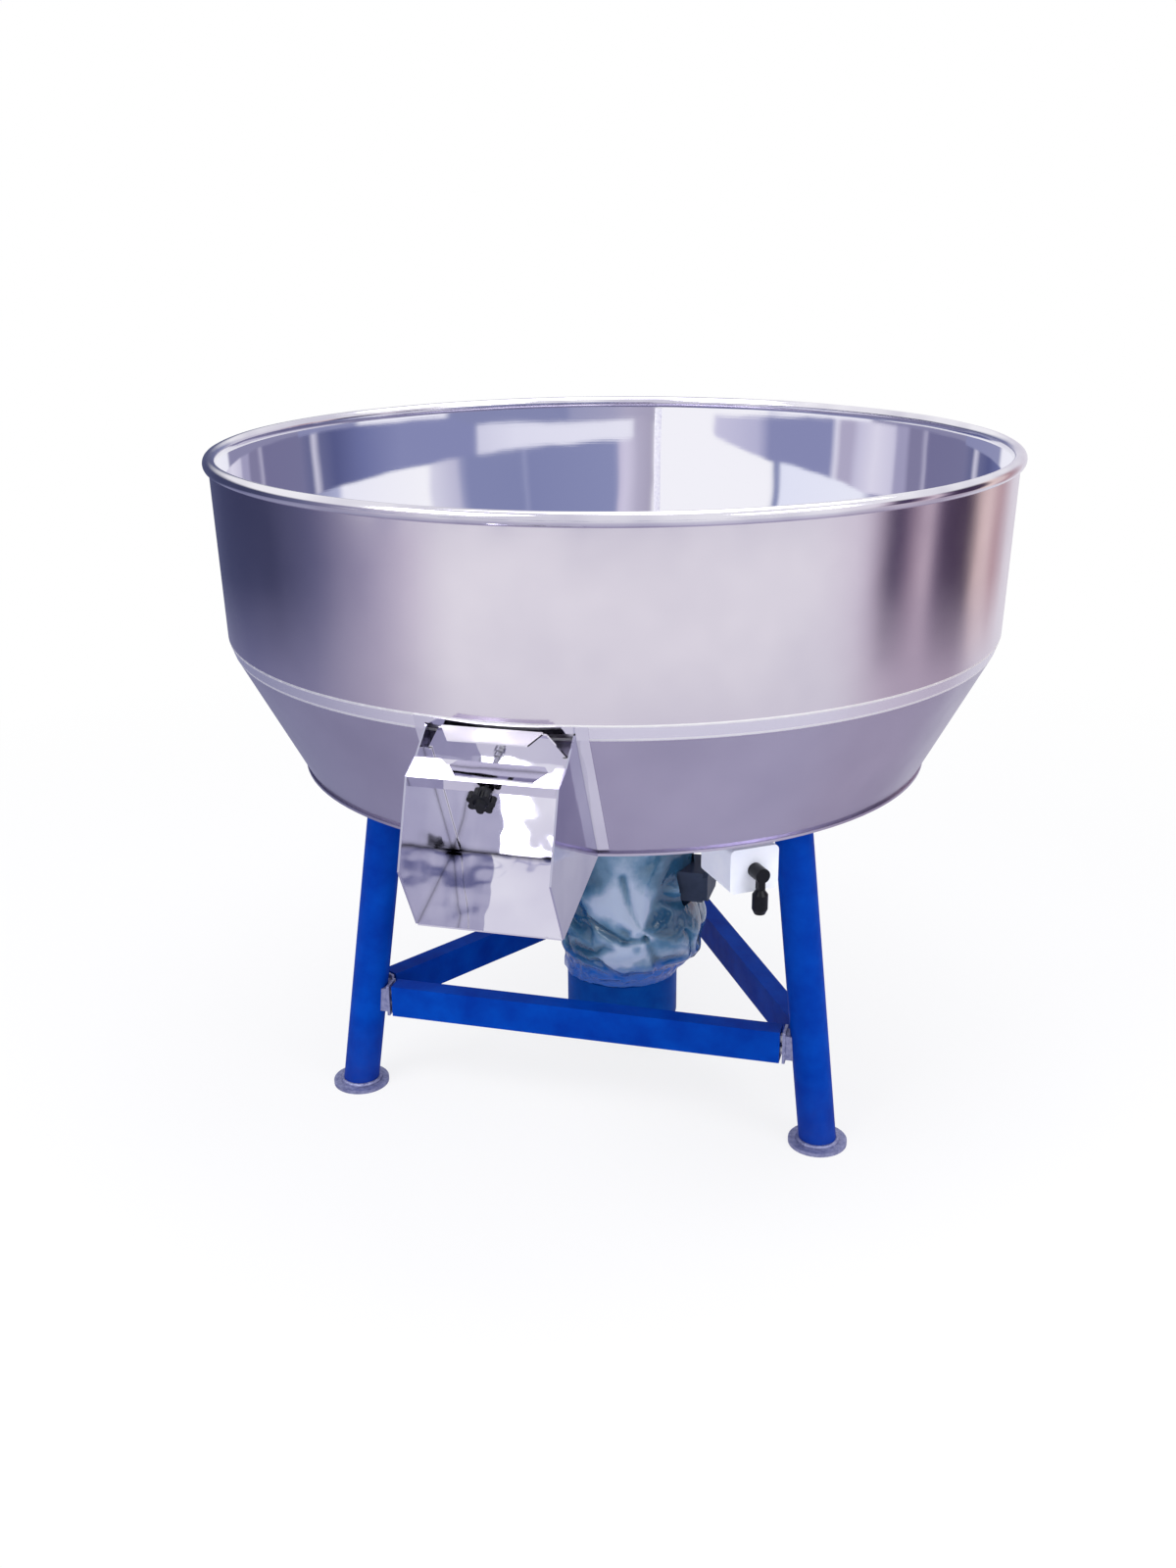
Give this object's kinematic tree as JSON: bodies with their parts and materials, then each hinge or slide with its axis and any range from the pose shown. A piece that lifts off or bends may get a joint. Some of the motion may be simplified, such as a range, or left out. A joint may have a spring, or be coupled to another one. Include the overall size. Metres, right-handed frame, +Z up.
{
  "type": "powder mixer",
  "caption": "Open stainless mixing pan on tube legs, with a geared stirrer driven from below, a clamped slide-gate chute and a lever switch.",
  "frame": {"origin": "on the floor under the pan's axis", "axes": "+Z up; -Y towards the discharge chute, the front of the picture; +X to the right seen from the front"},
  "size_m": [1.3994, 1.5031, 1.1866],
  "materials": {
    "polished_stainless": "polished stainless sheet",
    "blue_paint": "gloss blue enamel",
    "raw_steel": "bare steel with weld marks",
    "plated_steel": "zinc plated",
    "cast_iron_grey": "painted casting",
    "gear_steel": "machined steel",
    "bearing_steel": "ground bearing steel",
    "lamination_steel": "stacked laminations",
    "stirrer_stainless": "ground stainless",
    "seal_rubber": "oil-resistant rubber",
    "slate_paint": "dark slate paint",
    "pale_grey_paint": "pale grey gloss paint",
    "black_plastic": "moulded black plastic",
    "switch_plastic": "phenolic moulding",
    "clear_film": "crumpled clear film"
  },
  "bodies": {
    "stand": {"bowl_wall": "polished_stainless", "rim_tube": "polished_stainless", "bowl_cone": "polished_stainless", "bowl_floor": "polished_stainless", "outlet_frame": "polished_stainless", "chute_left_side": "polished_stainless", "chute_right_side": "polished_stainless", "chute_floor": "polished_stainless", "clamp_bar": "polished_stainless", "gate_guides": "polished_stainless", "leg_left": "blue_paint", "leg_right": "blue_paint", "leg_rear": "blue_paint", "leg_heads": "blue_paint", "brace_front": "blue_paint", "brace_left": "blue_paint", "brace_right": "blue_paint", "drive_plate": "blue_paint", "motor_flange": "blue_paint", "motor_frame": "blue_paint", "motor_end_shield": "blue_paint", "fan_cowl": "blue_paint", "feet": "raw_steel", "brace_lugs": "raw_steel", "brace_bolts": "plated_steel", "clamp_nut": "plated_steel", "switch_bracket": "plated_steel", "gearbox_housing": "cast_iron_grey", "gearbox_cover": "cast_iron_grey", "gearbox_bearings": "bearing_steel", "motor_bearings": "bearing_steel", "stator_core": "lamination_steel", "seal_housing": "stirrer_stainless", "shaft_seal": "seal_rubber", "terminal_box": "slate_paint", "terminal_lid": "slate_paint", "switch_box": "pale_grey_paint", "switch_cover": "pale_grey_paint", "switch_contacts": "switch_plastic", "dust_bag": "clear_film"},
    "stirrer": {"output_shaft": "gear_steel", "output_gear": "gear_steel", "stirrer_hub": "stirrer_stainless", "hub_cap": "stirrer_stainless", "stirrer_arms": "stirrer_stainless", "plough_blades": "stirrer_stainless", "wall_scrapers": "stirrer_stainless"},
    "layshaft": {"layshaft": "gear_steel", "lay_gear": "gear_steel"},
    "rotor": {"motor_shaft": "gear_steel", "rotor_core": "lamination_steel", "cooling_fan": "black_plastic"},
    "gate": {"gate_plate": "polished_stainless"},
    "pad": {"pressure_pad": "plated_steel"},
    "screw": {"clamp_screw": "plated_steel", "clamp_knob": "black_plastic"},
    "lever": {"switch_drum": "switch_plastic", "switch_lever": "black_plastic", "lever_grip": "black_plastic"}
  },
  "joints": [
    {"name": "stirrer_spin", "type": "hinge", "parent": "stand", "child": "stirrer", "pos_m": [0, 0, 0.7], "axis": [0, 0, 1], "continuous": true},
    {"name": "layshaft_spin", "type": "hinge", "parent": "stand", "child": "layshaft", "pos_m": [0.076, 0, 0.53], "axis": [0, 0, 1], "continuous": true},
    {"name": "motor_spin", "type": "hinge", "parent": "stand", "child": "rotor", "pos_m": [0.016, 0, 0.3], "axis": [0, 0, 1], "continuous": true},
    {"name": "gate_slide", "type": "slide", "parent": "stand", "child": "gate", "axis": [0, -0.4633, 0.8862], "range_m": [0, 0.17]},
    {"name": "pad_slide", "type": "slide", "parent": "stand", "child": "pad", "axis": [0, -0.8862, -0.4633], "range_m": [0, 0.006]},
    {"name": "screw_turn", "type": "hinge", "parent": "pad", "child": "screw", "pos_m": [0.005, -0.7209, 0.82153], "axis": [0, -0.8862, -0.4633], "range_deg": [0, 1441]},
    {"name": "switch_turn", "type": "hinge", "parent": "stand", "child": "lever", "pos_m": [0.33288, -0.37909, 0.562], "axis": [0.5878, -0.809, 0], "range_deg": [-45, 45]}
  ],
  "couplings": [
    {"joint": "layshaft_spin", "follows": "stirrer_spin", "ratio": -5.3333},
    {"joint": "motor_spin", "follows": "stirrer_spin", "ratio": 30.222},
    {"joint": "screw_turn", "follows": "pad_slide", "rad_per_m": 4188.8}
  ]
}
